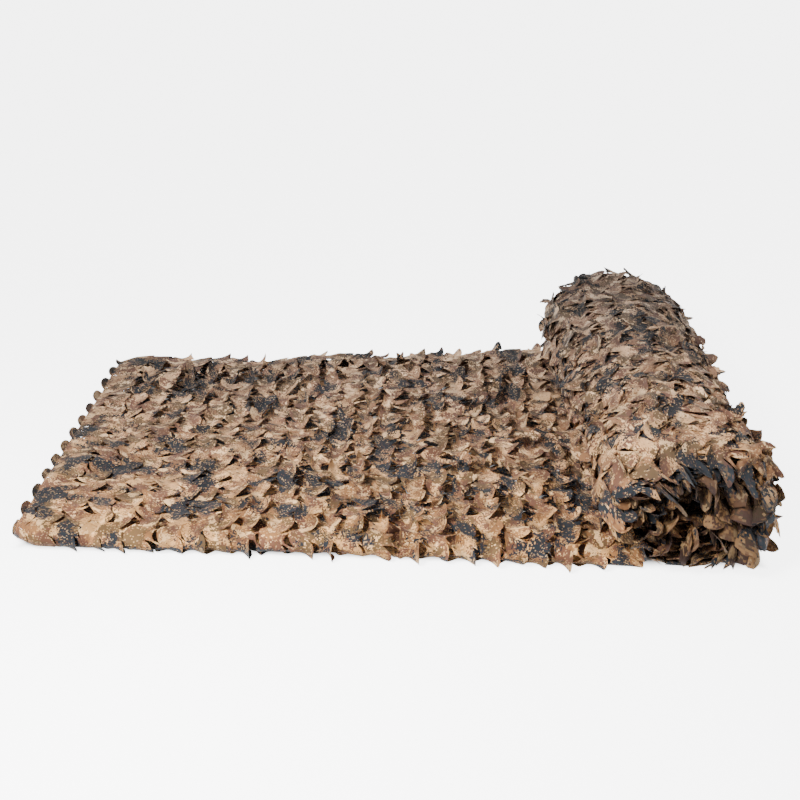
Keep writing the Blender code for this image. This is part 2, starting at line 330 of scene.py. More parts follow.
# The stage: how far it reaches, then where each light stands, what it points at and how wide it is.
STAGE_REACH = 60.0
LIGHT_SPREAD = math.radians(130)
KEY_LIGHT = ((-1.0, -2.15, 2.0), (-0.1, -0.8, 0.0), 1.1)
FILL_LIGHT = ((2.6, -2.2, 2.2), (0.3, 0.0, 0.1), 2.0)
CAMERA_PLACE = (0.105, -3.325, 1.45)
CAMERA_TURN = (68.6114, 0.0, 1.4224)
SENSOR_WIDTH = 36.0
SEEN_TO = 200.0
# The floor's own glow stops under the netting, which leaves a painted shade there: it fades over this depth
# inside its outline.
GLOW_FADE = 0.05
GLOW_INSET = 0.01

# Leaf outlines: half of each cut, as (along, half width) in tiles, from the leaf's root to its tip.
LEAF_ROOT = 0.07
LEAF_HALF_WIDTH = 0.34
ROUND_STEPS = 8
ROUND_LEAF = tuple(
    (LEAF_ROOT + 0.52 * math.sin(turn), LEAF_HALF_WIDTH * math.cos(turn))
    for turn in (math.pi / 2 * step / ROUND_STEPS for step in range(ROUND_STEPS + 1))
)
POINTED_LEAF = (
    (LEAF_ROOT, LEAF_HALF_WIDTH),
    (0.17, 0.345),
    (0.27, 0.300),
    (0.38, 0.225),
    (0.49, 0.155),
    (0.58, 0.080),
    (0.65, 0.0),
)
LOBED_LEAF = (
    (LEAF_ROOT, LEAF_HALF_WIDTH),
    (0.24, 0.340),
    (0.29, 0.250),
    (0.44, 0.240),
    (0.47, 0.150),
    (0.60, 0.110),
    (0.68, 0.0),
)
LEAF_OUTLINES = (
    (ROUND_LEAF, 0.0),
    (ROUND_LEAF, 0.010),
    (POINTED_LEAF, 0.0),
    (LOBED_LEAF, 0.012),
    (LOBED_LEAF, 0.018),
    (POINTED_LEAF, 0.015),
)
ROUND_KINDS = 2
LEAF_KINDS = len(LEAF_OUTLINES)
LOW_EDGE, HIGH_EDGE = LEAF_KINDS, LEAF_KINDS + 1
SHAPE_SEED = 7


def blend(low, high, value):
    """0 at low and 1 at high, with soft ends."""
    share = np.clip((value - low) / (high - low), 0.0, 1.0)
    return share * share * (3 - 2 * share)


def slope(height, low, high, value):
    """0 at low and this height at high, with soft ends."""
    return height * blend(low, high, value)


def hump(height, middle, spread, value):
    """A smooth hump of this height about its middle."""
    return height * np.exp(-(((value - middle) / spread) ** 2))


def read_table(rows, place):
    """The columns after the first, blended between the rows on both sides of each place."""
    table = np.array(rows)
    after = np.clip(np.searchsorted(table[:, 0], place), 1, len(table) - 1)
    share = blend(table[after - 1, 0], table[after, 0], place)
    low, high = table[after - 1, 1:], table[after, 1:]
    return np.moveaxis(low + (high - low) * share[..., None], -1, 0)


def waves(table, first, second):
    """The sum of the table's waves, each with a height, a length each way and a phase."""
    return sum(
        height * np.sin(math.tau * (first / one + second / other) + phase)
        for height, one, other, phase in table
    )


def spiral_share(along):
    """How much of the outermost section is left after winding this far."""
    turn, part = np.divmod(along / ROLL_CELLS, 1.0)
    drop = np.maximum(0.0, part - FLAT_SPOT_SHARE) / (1 - FLAT_SPOT_SHARE)
    return 1 - TURN_SHRINK * (turn + drop)


def roll_section(along, y, inset=0.0):
    """Where the wound cloth lies, as x and z, with an inset taken off its share of the section."""
    width, height, shift = read_table(ROLL_STATIONS, y)
    edge = np.clip((ROLL_HALF_LENGTH - np.abs(y)) / SHOULDER, 0.0, 1.0)
    rounding = 1 - SHOULDER_SHRINK * (1 - edge) ** 2
    angle = NIP_ANGLE + math.tau * along / ROLL_CELLS
    x = ROLL_HALF_WIDTH * width * rounding * np.cos(angle)
    z = np.maximum(ROLL_HALF_HEIGHT * height * rounding * np.sin(angle), -ROLL_Z)
    share = spiral_share(along) - inset
    return ROLL_X + shift + share * x, ROLL_Z + share * z


def nip_x(y, z):
    """How far along the roll's inner step lies, where the laid-out end meets it."""
    low_x, low_z = roll_section(np.zeros_like(y), y)
    high_x, high_z = roll_section(np.full_like(y, TURN_END), y)
    return low_x + (high_x - low_x) * (z - low_z) / (high_z - low_z)


def laid_surface(along, row):
    """The laid-out end: its under layer, the fold at the front and its top layer."""
    across = SHEET_CELLS - row
    fold_start = LAYER_CELLS - FOLD_CELLS
    floor_nip = roll_section(np.zeros(1), np.zeros(1))[0][0]
    x = LAID_END_X + (floor_nip - LAID_END_X) * along / LAID_CELLS
    front, back, height = read_table(LAID_SECTIONS, x)
    curl = np.clip((along + END_SCALLOP) * CELL_LENGTH / END_CURL, 0.0, 1.0)
    height = EDGE_HEIGHT + (height - EDGE_HEIGHT) * np.sqrt(1 - (1 - curl) ** 2)
    inner = front + FOLD_DEPTH
    nip = blend(LAID_CELLS, LAID_CELLS - NIP_CALM, along)

    top_y = back + (inner - back) * across / fold_start
    calm = curl * nip * blend(0.0, RIDGE_CALM, top_y - inner)
    lowest = UNDER_HEIGHT + CLOTH / 3
    flap = np.clip(-along / END_SCALLOP, 0.0, 1.0)
    rise = waves(RIDGES, x, top_y) * calm + BACK_RISE * blend(*BACK_RISE_ROWS, row)
    top_z = lowest + (height + rise + FLAP_RISE * flap - lowest) * blend(0.0, BACK_DROOP, back - top_y)

    turn = math.pi * np.clip((across - fold_start) / FOLD_CELLS, 0.0, 1.0)
    fold_y = inner - FOLD_DEPTH * np.sin(turn)
    fold_z = UNDER_HEIGHT + (height - UNDER_HEIGHT) * (1 + np.cos(turn)) / 2

    hem = np.clip(1 - row / HEM_CELLS, 0.0, 1.0)
    under_y = inner + (back - inner) * (across / LAYER_CELLS - 1)
    under_y = under_y - HEM_REACH * hem - slope(*HEM_INSET, row)
    swell = slope(*UNDER_SWELL, row) * blend(*BACK_EDGE_ROWS, row) * nip
    cut_end = (1 - blend(*CUT_END_CELLS, along)) * blend(*CUT_END_ROWS, row) * blend(*BACK_EDGE_ROWS, row)
    under_z = UNDER_HEIGHT + swell + (height - UNDER_GAP - UNDER_HEIGHT - swell) * cut_end
    under_z = under_z + HEM_HEIGHT * (height + BACK_RISE - UNDER_HEIGHT) * hem

    places = [across <= fold_start, across <= LAYER_CELLS]
    y = np.select(places, [top_y, fold_y], under_y)
    z = np.select(places, [top_z, fold_z], under_z)
    end = nip_x(y, z) - CLOTH / 2 - GAP
    reach = FLAP_REACH * flap * (FOLD_FLAP_REACH + (1 - FOLD_FLAP_REACH) * blend(*FLAP_ROWS, row))
    start = LAID_END_X + slope(*END_SKEW, y)
    x = start + (end - start) * np.maximum(along, 0.0) / LAID_CELLS - reach
    return np.stack([x, y, z], axis=-1)


def laid_slack(along, row, points):
    """How freely the leaves lift on the laid-out end, from 0 to 1."""
    nip = blend(LAID_CELLS - FLAT_LEAVES, LAID_CELLS - NIP_CALM, along)
    under = blend(*UNDER_FRONT_ROWS, row) * blend(*UNDER_BACK_ROWS, row) * blend(*UNDER_END_CELLS, along)
    slack = LEAST_SLACK + UNDER_SLACK * under + slope(*FOLD_SLACK, row) + slope(*TOP_SLACK, row)
    end = END_SLACK + (1 - END_SLACK) * blend(*END_SLACK_CELLS, along)
    back = 1 - (1 - slope(*SLOPE_SLACK, row)) * blend(*CALM_ROWS, row)
    taut = hump(TAUTNESS, *TAUT_X, points[..., 0]) * hump(1.0, *TAUT_Y, points[..., 1])
    return nip * slack * end * back * (1 - taut)


def laid_pull(along, row, points):
    """Which way a leaf of the laid-out end sinks under its weight, as a share of its length."""
    return np.stack([0 * along, 0 * along, np.full_like(along, LAID_PULL)], axis=-1)


def laid_roundness(along, row, points):
    """The share of leaves with a round outline: most of them near the edges, fewer elsewhere."""
    front_or_end = np.maximum(hump(*ROUND_ON_FOLD, row), hump(*ROUND_AT_END, along))
    return np.maximum(front_or_end, np.maximum(hump(*ROUND_AT_BACK, row), LEAST_ROUND))


def rolled_surface(along, row):
    """The wound cloth: its outer layer, the fold at the near end and its inner layer."""
    turn = math.pi * np.clip((row - LAYER_CELLS + ROLL_FOLD_CELLS) / (2 * ROLL_FOLD_CELLS), 0.0, 1.0)
    side = np.cos(turn)
    wound_in = blend(*WOUND_IN_CELLS, along)
    unevenness = waves(END_WAVES, along, 0.0)
    end = ROLL_HALF_LENGTH - END_DISH * (1 - spiral_share(along)) + unevenness * wound_in
    near = end - ROLL_FOLD_DEPTH
    depth = np.clip(np.minimum(row, SHEET_CELLS - row) / (LAYER_CELLS - ROLL_FOLD_CELLS), 0.0, 1.0)
    y = end - (end + near) * depth - ROLL_FOLD_DEPTH * np.sin(turn)
    loose = blend(FRINGE_SHARE, 0.0, depth)
    y = y + (waves(FRINGE, along + side, 0.0) + unevenness * (1 - wound_in)) * loose
    swell = END_SWELL * blend(SWELL_DEPTH, 0.0, np.minimum(end - y, y + end))
    swell = swell * np.where(side > 0, wound_in, 1.0)
    x, z = roll_section(along, y, LAYER_SHRINK * (1 - side) / 2 - swell * side)
    out_x, out_z = x - ROLL_X, z - ROLL_Z
    out = np.hypot(out_x, out_z)
    free = blend(*LOFT_HEIGHTS, z) * (INNER_LOFT + (1 - INNER_LOFT) * spiral_share(along))
    flank = 1 + FLANK_LOFT * np.abs(out_x) / out
    rise = ROLL_LOFT + slope(*FAR_LOFT, y) * flank + waves(LUMPS, along, y)
    ripples = waves(FRINGE, FRINGE_PITCH * along - side, 0.0) * FRINGE_RISE * loose
    loft = (rise + slope(*RIM_LOFT, y) + ripples) * free / out
    return np.stack([x + out_x * loft, y, z + out_z * loft], axis=-1)


def second_surface(along, row):
    """The turn behind the outer one, where it shows through the cuts."""
    points = rolled_surface(along, row)
    axis = np.stack([np.full_like(along, ROLL_X), points[..., 1], np.full_like(along, ROLL_Z)], axis=-1)
    return axis + (points - axis) * SECOND_TURN


def rolled_slack(along, row, points):
    """How freely the leaves lift on the roll: less under it and on top, most towards its near end."""
    height = points[..., 2]
    top = 1 - slope(*TOP_CALM, height)
    near = 1 + hump(*NEAR_SLACK, row)
    return (FLOOR_SLACK + (1 - FLOOR_SLACK) * blend(*FLOOR_HEIGHTS, height)) * top * near


def rolled_pull(along, row, points):
    """Which way a leaf of the roll hangs: down, and out over the roll's two ends."""
    near = hump(1.0, LAYER_CELLS, NEAR_PULL_ROWS, row)
    far = hump(1.0, 0.0, FAR_PULL_ROWS, np.minimum(row, SHEET_CELLS - row))
    return np.stack([0 * near, FAR_PULL * far - NEAR_PULL * near, -HANG - HANG * near], axis=-1)


def rolled_roundness(along, row, points):
    """The share of leaves with a round outline: few along the roll, more at its near end."""
    return ROUND_ON_ROLL + hump(*ROUND_AT_NEAR_END, row)


def wound_places(first, last, step):
    """Places along the winding that lie an even length of cloth apart, and that length of cloth."""
    along = np.linspace(first, last, 40 * int(last - first))
    x, z = roll_section(along, np.zeros_like(along))
    length = np.concatenate([[0.0], np.cumsum(np.hypot(np.diff(x), np.diff(z)))])
    steps = max(1, round(length[-1] / step))
    return np.interp(np.linspace(0.0, length[-1], steps + 1), length, along), length[-1]


class Value:
    """An output socket of a node. Sums written with it add the nodes that work them out."""

    def __init__(self, wiring, socket):
        self.wiring = wiring
        self.socket = socket

    def __add__(self, other):
        return self.wiring.math("ADD", self, other)

    def __sub__(self, other):
        return self.wiring.math("SUBTRACT", self, other)

    def __rsub__(self, other):
        return self.wiring.math("SUBTRACT", other, self)

    def __mul__(self, other):
        return self.wiring.math("MULTIPLY", self, other)

    def __truediv__(self, other):
        return self.wiring.math("DIVIDE", self, other)

    def __rtruediv__(self, other):
        return self.wiring.math("DIVIDE", other, self)

    def __gt__(self, other):
        return self.wiring.math("GREATER_THAN", self, other)

    def __lt__(self, other):
        return self.wiring.math("LESS_THAN", self, other)

    __radd__ = __add__
    __rmul__ = __mul__


class Wiring:
    """Adds nodes to one tree and joins their sockets."""

    def __init__(self, tree):
        self.tree = tree

    def node(self, kind, settings=(), values=(), output=0):
        """Adds a node, makes its settings, then fills its inputs, and gives one of its outputs."""
        node = self.tree.nodes.new(kind)
        for name, setting in dict(settings).items():
            setattr(node, name, setting)
        for key, value in dict(values).items():
            socket = node.inputs[key]
            for part in value if isinstance(value, list) else [value]:
                if isinstance(part, Value):
                    self.tree.links.new(part.socket, socket)
                else:
                    socket.default_value = part
        return Value(self, node.outputs[output]) if node.outputs else node

    def math(self, operation, *values):
        return self.node("ShaderNodeMath", {"operation": operation}, enumerate(values))

    def vectors(self, operation, *values):
        return self.node("ShaderNodeVectorMath", {"operation": operation}, enumerate(values))

    def scaled(self, vector, factor):
        return self.node("ShaderNodeVectorMath", {"operation": "SCALE"}, {0: vector, "Scale": factor})

    def vector(self, x=0.0, y=0.0, z=0.0):
        return self.node("ShaderNodeCombineXYZ", (), {"X": x, "Y": y, "Z": z})

    def part(self, vector, axis):
        return self.node("ShaderNodeSeparateXYZ", (), {0: vector}, axis)

    def ramp(self, value, low, high, first=0.0, last=1.0, kind="LINEAR"):
        """A value from low to high turned into one from first to last."""
        values = enumerate((value, low, high, first, last))
        return self.node("ShaderNodeMapRange", {"interpolation_type": kind}, values)

    def mix(self, factor, first, second):
        """Two colours mixed by a factor."""
        colors = {"Factor": factor, 6: first, 7: second}
        return self.node("ShaderNodeMix", {"data_type": "RGBA"}, colors, 2)


class Outline:
    """A patch of flat cloth, triangulated with its cuts, creases and edges kept."""

    def __init__(self, spacing):
        self.spacing = spacing
        self.points = []
        self.edges = []

    def add_line(self, line, closed=False):
        first = len(self.points)
        self.points.extend(line)
        last = len(self.points)
        self.edges.extend((index, index + 1) for index in range(first, last - 1))
        if closed:
            self.edges.append((last - 1, first))
        return list(range(first, last))

    def fill(self, ring):
        """Adds points inside a ring, in staggered rows clear of the lines."""
        lines = np.array(self.points)
        low, high = lines.min(axis=0), lines.max(axis=0)
        for number, x in enumerate(np.arange(low[0], high[0], self.spacing * math.sqrt(3) / 2)):
            for y in np.arange(low[1] + self.spacing * (number % 2) / 2, high[1], self.spacing):
                nearest = np.hypot(lines[:, 0] - x, lines[:, 1] - y).min()
                if nearest > 0.62 * self.spacing and is_inside(ring, x, y):
                    self.points.append((x, y))

    def triangles(self):
        flat = [Vector(point) for point in self.points]
        points, _, faces, _, _, _ = delaunay_2d_cdt(flat, self.edges, [], 0, 1e-7)
        return [(point.x, point.y) for point in points], faces


def is_inside(ring, x, y):
    """Whether a point is in a ring, by counting the edges to one side of it."""
    crossings = 0
    for (ax, ay), (bx, by) in zip(ring, ring[1:] + ring[:1]):
        if (ay > y) != (by > y) and x < ax + (y - ay) * (bx - ax) / (by - ay):
            crossings += 1
    return crossings % 2 == 1


def divided(corners, counts):
    """The points of a broken line with each stretch cut into its count of equal steps, its end left out."""
    line = []
    for start, end, count in zip(corners, corners[1:], counts):
        line += [tuple(a + (b - a) * step / count for a, b in zip(start, end)) for step in range(count)]
    return line


def spaced(corners, spacing):
    """The points of a broken line, its corners kept and its stretches divided evenly."""
    counts = [max(1, round(math.dist(start, end) / spacing)) for start, end in zip(corners, corners[1:])]
    return [*divided(corners, counts), tuple(corners[-1])]


def tile_border():
    """The edge of one tile: its base at the leaf's root and its apex one tile along."""
    half = TILE_WIDTH / 2
    corners = ((0.0, -half), (TILE_LENGTH, 0.0), (0.0, half), (0.0, -half))
    return divided(corners, (SIDE_STEPS, SIDE_STEPS, BASE_STEPS))


def half_tile_border(side):
    """Half of a tile, on one side of its middle line."""
    corner = (0.0, side * TILE_WIDTH / 2)
    corners = (corner, (TILE_LENGTH, 0.0), (0.0, 0.0), corner)
    return divided(corners, (SIDE_STEPS, SIDE_STEPS, BASE_STEPS // 2))


def scallop_border():
    """A rounded flap of a cut end: straight at x = 0, with its round side before it."""
    half = FLAP_SHARE * SCALLOP_WIDTH / 2
    straight = divided(((0.0, half), (0.0, -half)), (BASE_STEPS,))
    curve = []
    for step in range(2 * BASE_STEPS):
        turn = math.pi * step / (2 * BASE_STEPS)
        curve.append((-END_SCALLOP * CELL_LENGTH * math.sin(turn), -half * math.cos(turn)))
    return straight + curve


def mesh_object(name, points, faces, columns):
    """A helper mesh with one value for each point under each column's name."""
    mesh = bpy.data.meshes.new(name)
    mesh.from_pydata(points, [], faces)
    for column, (kind, values) in columns.items():
        key = "value" if kind == "FLOAT" else "vector"
        data = mesh.attributes.new(column, kind, "POINT").data
        data.foreach_set(key, np.asarray(values, dtype=np.float32).ravel())
    return bpy.data.objects.new(name, mesh)


def leaf_tile(name, half_cut, spacing):
    """One triangle of cloth with a leaf cut free along its outline, all but its root."""
    right = [(along * TILE_LENGTH, -width * TILE_WIDTH) for along, width in half_cut]
    left = [(x, -y) for x, y in reversed(right[:-1])]
    cut = spaced(right + left, spacing)
    border = tile_border()
    plan = Outline(spacing)
    plan.add_line(border, closed=True)
    cut_points = plan.add_line(cut)
    root = plan.add_line(spaced((cut[0], cut[-1]), spacing)[1:-1])
    plan.edges += [(cut_points[0], root[0]), (root[-1], cut_points[-1])]
    plan.fill(border)
    points, faces = plan.triangles()

    # Points of the leaf that aren't on its root are copies, so that the cut opens.
    root_x = LEAF_ROOT * TILE_LENGTH
    cut_line = np.array(cut)
    reach, side, lip = [], [], []
    for x, y in points:
        nearest = np.hypot(cut_line[:, 0] - x, cut_line[:, 1] - y).min()
        depth = min(max((x - root_x) / (LIP_START * TILE_LENGTH), 0.0), 1.0)
        reach.append(0.0)
        side.append(0.0)
        lip.append(depth * max(0.0, 1 - nearest / LIP_WIDTH))
    copies = {}
    opened = []
    for face in faces:
        middle = np.mean([points[index] for index in face], axis=0)
        if not is_inside(cut, *middle):
            opened.append(list(face))
            continue
        for index in face:
            x, y = points[index]
            if index not in copies and x - root_x > 1e-6:
                copies[index] = len(points)
                points.append((x, y))
                reach.append(x - root_x)
                side.append(y / (LEAF_HALF_WIDTH * TILE_WIDTH))
                lip.append(0.0)
        opened.append([copies.get(index, index) for index in face])
    used = sorted({index for face in opened for index in face})
    places = {index: place for place, index in enumerate(used)}
    # The leaf lies a little higher, so that joining the tiles leaves its cut open.
    lifted = [(*points[index], LEAF_LIFT if reach[index] else 0.0) for index in used]
    columns = {"reach": reach, "side": side, "lip": lip}
    return mesh_object(
        name,
        lifted,
        [[places[index] for index in face] for face in opened],
        {column: ("FLOAT", [values[index] for index in used]) for column, values in columns.items()},
    )


def plain_tile(name, border, spacing):
    """A patch of cloth with no leaf in it, for the net's edges."""
    plan = Outline(spacing)
    plan.add_line(border, closed=True)
    plan.fill(border)
    points, faces = plan.triangles()
    columns = {column: ("FLOAT", [0.0] * len(points)) for column in TILE_COLUMNS}
    return mesh_object(name, [(x, y, 0.0) for x, y in points], faces, columns)


def shaken(half_cut, amount, uneven):
    """The outline with its inner corners moved a little."""
    moved = [
        (along + uneven.uniform(-amount, amount), width + uneven.uniform(-amount, amount) * 0.6)
        for along, width in half_cut[1:-1]
    ]
    return (half_cut[0], *moved, half_cut[-1])


def make_tiles(name, spacing):
    """A collection of tiles, in the order that the net picks them by, and one of scallops."""
    uneven = np.random.default_rng(SHAPE_SEED)
    folder = bpy.data.collections.new(name)
    for number, (half_cut, amount) in enumerate(LEAF_OUTLINES):
        folder.objects.link(leaf_tile(f"{name}_{number}", shaken(half_cut, amount, uneven), spacing))
    folder.objects.link(plain_tile(f"{name}_{LOW_EDGE}", half_tile_border(-1), spacing))
    folder.objects.link(plain_tile(f"{name}_{HIGH_EDGE}", half_tile_border(1), spacing))
    return folder


LAID = (laid_surface, laid_slack, laid_roundness, laid_pull)
ROLLED = (rolled_surface, rolled_slack, rolled_roundness, rolled_pull)


def smooth_sheet(name, form, along, rows):
    """The smooth surface that a cut cloth is laid on, with what its leaves need to know about it."""
    surface, slack, roundness, pull = form
    u, v = np.meshgrid(along, rows, indexing="ij")
    points = surface(u, v)
    forward = np.gradient(points, axis=0)
    forward /= np.linalg.norm(forward, axis=-1, keepdims=True) + 1e-12
    outward = np.cross(forward, np.gradient(points, axis=1))
    outward /= np.linalg.norm(outward, axis=-1, keepdims=True) + 1e-12
    numbers = np.arange(u.size).reshape(u.shape)
    faces = np.stack([numbers[:-1, :-1], numbers[1:, :-1], numbers[1:, 1:], numbers[:-1, 1:]], axis=-1)
    flat_u, flat_v = np.meshgrid(np.linspace(0, 1, len(along)), np.linspace(0, 1, len(rows)), indexing="ij")
    columns = {
        "flat": ("FLOAT2", np.stack([flat_u, flat_v], axis=-1)),
        "forward": ("FLOAT_VECTOR", forward),
        "outward": ("FLOAT_VECTOR", outward),
        "slack": ("FLOAT", slack(u, v, points)),
        "roundness": ("FLOAT", roundness(u, v, points)),
        "pull": ("FLOAT_VECTOR", pull(u, v, points)),
    }
    return mesh_object(name, points.reshape(-1, 3).tolist(), faces.reshape(-1, 4).tolist(), columns)


# The net tree's inputs: the kind of socket, then each input's name and default.
NET_INPUTS = (
    ("Collection", {"Tiles": None}),
    ("Object", {"Scallop": None}),
    ("Material", {"Material": None}),
    ("Int", {"Tiles Along": 26, "Tiles Across": 16, "Scallops": 0, "Seed": 1}),
    ("Float", {"Raise Least": 0.2, "Raise Most": 0.9, "Curl Least": -0.3, "Curl Most": 0.8}),
    ("Float", {"Twist Least": -0.3, "Twist Most": 0.3, "Shade Least": 0.0, "Shade Most": 1.0}),
    ("Float", {"Sway": 0.3, "Sag": 0.006, "Gape": 0.006, "Ripple": 0.012, "Stray": 0.014}),
    ("Float", {"Margin Along": 0.0, "Print Along": 0.0, "Print Across": 0.0, "Floor": 0.001}),
)
TILE_COLUMNS = ("reach", "side", "lip")
SHEET_COLUMNS = ("flat", "forward", "outward", "slack", "roundness", "pull")
LEAF_COLUMNS = ("leaf_number", "heading", "kind", "slide", "turned", "raise", "curl", "twist", "sway")


def net_tree():
    """Tiles of cut cloth set side by side on a flat plan, then laid on a sheet with their leaves raised."""
    tree = bpy.data.node_groups.new("leaf_cut_net", "GeometryNodeTree")
    tree.interface.new_socket("Sheet", in_out="INPUT", socket_type="NodeSocketGeometry")
    for kind, defaults in NET_INPUTS:
        for name, default in defaults.items():
            socket = tree.interface.new_socket(name, in_out="INPUT", socket_type="NodeSocket" + kind)
            if default is not None:
                socket.default_value = default
    tree.interface.new_socket("Net", in_out="OUTPUT", socket_type="NodeSocketGeometry")
    net = Wiring(tree)
    group = tree.nodes.new("NodeGroupInput")
    given = {socket.name: Value(net, socket) for socket in group.outputs if socket.name}

    def field(name, kind="FLOAT"):
        return net.node("GeometryNodeInputNamedAttribute", {"data_type": kind}, {"Name": name})

    def arrow(name):
        return field(name, "FLOAT_VECTOR")

    def step(kind, geometry, values=(), settings=()):
        """Passes the geometry through a node."""
        return net.node("GeometryNode" + kind, settings, {0: geometry, **dict(values)})

    def stored(geometry, name, value, kind="FLOAT", domain="POINT"):
        settings = {"data_type": kind, "domain": domain}
        return step("StoreNamedAttribute", geometry, {"Name": name, "Value": value}, settings)

    def sampled(value, place, kind="FLOAT_VECTOR"):
        """A value of the smooth sheet, read at a place on the flat plan."""
        values = {"Value": value, "Source UV Map": arrow("flat"), "Sample UV": place}
        return step("SampleUVSurface", given["Sheet"], values, {"data_type": kind})

    def random(low, high, number, seed):
        values = {2: low, 3: high, "ID": number, "Seed": given["Seed"] * 16 + seed}
        return net.node("FunctionNodeRandomValue", {"data_type": "FLOAT"}, values, 1)

    length = given["Tiles Along"] * TILE_LENGTH
    width = given["Tiles Across"] * TILE_WIDTH

    def share(x, y):
        """A place on the flat plan as shares of the sheet's length and width, kept just inside it."""
        shares = net.vector((x + given["Margin Along"]) / (length + given["Margin Along"]), y / width)
        shares = net.vectors("MAXIMUM", shares, (1e-5, 1e-5, 0.0))
        return net.vectors("MINIMUM", shares, (1 - 1e-5, 1 - 1e-5, 0.0))

    # The flat plan's points: a column for each tile along, and two half rows for each tile across.
    columns, half_rows = given["Tiles Along"], given["Tiles Across"] * 2 + 1
    plan_length = length - TILE_LENGTH
    plan = net.node("GeometryNodeMeshGrid", (), enumerate((plan_length, width, columns, half_rows)))
    plan = step("Transform", plan, {"Translation": net.vector(plan_length * 0.5, width * 0.5)})
    index = net.node("GeometryNodeInputIndex")
    half_row = index - net.math("FLOOR", (index + 0.5) / half_rows) * half_rows
    backward = 1 - net.math("FLOORED_MODULO", half_row, 2)
    low_edge, high_edge = half_row < 0.5, half_row > half_rows - 1.5
    spot = net.node("GeometryNodeInputPosition")
    spot_x, spot_y = net.part(spot, 0), net.part(spot, 1)
    is_round = random(0.0, 1.0, index, 11) < sampled(field("roundness"), share(spot_x, spot_y), "FLOAT")
    round_kind = net.math("FLOOR", random(0.0, ROUND_KINDS - 0.001, index, 12))
    long_kind = net.math("FLOOR", random(ROUND_KINDS, LEAF_KINDS - 0.001, index, 13))
    kind = long_kind + is_round * (round_kind - long_kind)
    kind = kind + low_edge * (LOW_EDGE - kind)
    kind = kind + high_edge * (HIGH_EDGE - kind)
    points = step("MeshToPoints", plan)
    marks = (
        ("leaf_number", index, "FLOAT"),
        ("heading", 1 - backward * 2, "FLOAT"),
        ("kind", kind, "FLOAT"),
        ("turned", net.vector(0.0, 0.0, backward * math.pi), "FLOAT_VECTOR"),
        ("slide", net.vector(backward * TILE_LENGTH), "FLOAT_VECTOR"),
    )
    for name, value, form in marks:
        points = stored(points, name, value, form)
    points = step("SetPosition", points, {"Offset": arrow("slide")})
    placing = {
        "Instance": step("CollectionInfo", given["Tiles"], {"Separate Children": True}),
        "Pick Instance": True,
        "Instance Index": field("kind"),
        "Rotation": arrow("turned"),
    }
    cloth = step("InstanceOnPoints", points, placing)
    leaf = field("leaf_number")
    habits = (
        ("raise", given["Raise Least"], given["Raise Most"]),
        ("curl", given["Curl Least"], given["Curl Most"]),
        ("twist", given["Twist Least"], given["Twist Most"]),
        ("sway", given["Sway"] * -1, given["Sway"]),
        ("shade", given["Shade Least"], given["Shade Most"]),
    )
    for seed, (name, low, high) in enumerate(habits):
        cloth = stored(cloth, name, random(low, high, leaf, seed), "FLOAT", "INSTANCE")
    cloth = step("MergeByDistance", step("RealizeInstances", cloth), {"Distance": JOIN_WITHIN})

    # Rounded flaps along the cut end.
    pitch = width / net.math("MAXIMUM", given["Scallops"], 1)
    line = {"Start Location": net.vector(0.0, pitch * 0.5), "Offset": net.vector(0.0, pitch)}
    line = step("MeshLine", given["Scallops"], line)
    placing = {
        "Instance": net.node("GeometryNodeObjectInfo", (), {"Object": given["Scallop"]}, 4),
        "Scale": net.vector(random(*FLAP_LENGTHS, index, 22), pitch / SCALLOP_WIDTH, 1.0),
    }
    flaps = step("InstanceOnPoints", line, placing)
    # The flaps are painted dark, a painted shade for their sides turned from the light.
    flaps = stored(flaps, "shade", random(*FLAP_PAINTED_SHADES, index, 21), "FLOAT", "INSTANCE")
    cloth = step("JoinGeometry", [step("RealizeInstances", flaps), cloth])

    # The plan is laid on the sheet: each leaf turns up about its root.
    flat = net.node("GeometryNodeInputPosition")
    flat_x, flat_y = net.part(flat, 0), net.part(flat, 1)
    print_place = net.vector(flat_x + given["Print Along"], flat_y + given["Print Across"])
    cloth = stored(cloth, "cloth", print_place, "FLOAT2", "CORNER")
    reach, side, heading = field("reach"), field("side"), field("heading")
    root_x = flat_x - heading * reach
    edge_x = net.math("MINIMUM", root_x, length - root_x)
    edge = net.math("MINIMUM", edge_x, net.math("MINIMUM", flat_y, width - flat_y))
    inside = net.math("MAXIMUM", net.math("MINIMUM", edge / STRAY_MARGIN, 1.0), 0.0)
    spread = given["Stray"] * 3 * inside

    def noise(x, shift, scale, detail, output):
        values = {"Vector": net.vector(x, flat_y, given["Seed"] * shift), "Scale": scale, "Detail": detail}
        return net.node("ShaderNodeTexNoise", (), values, output)

    def unevenness(x, kind, amount):
        """A vector that changes smoothly over the flat plan, about as often one way as the other."""
        return net.scaled(net.vectors("SUBTRACT", noise(x, *kind, 1), (0.5, 0.5, 0.5)), amount)

    def strayed(x):
        """Where a point at this length along the flat plan goes, moved off its even spacing."""
        moved = unevenness(x, STRAY_NOISE, spread)
        return share(x + net.part(moved, 0), flat_y + net.part(moved, 1))

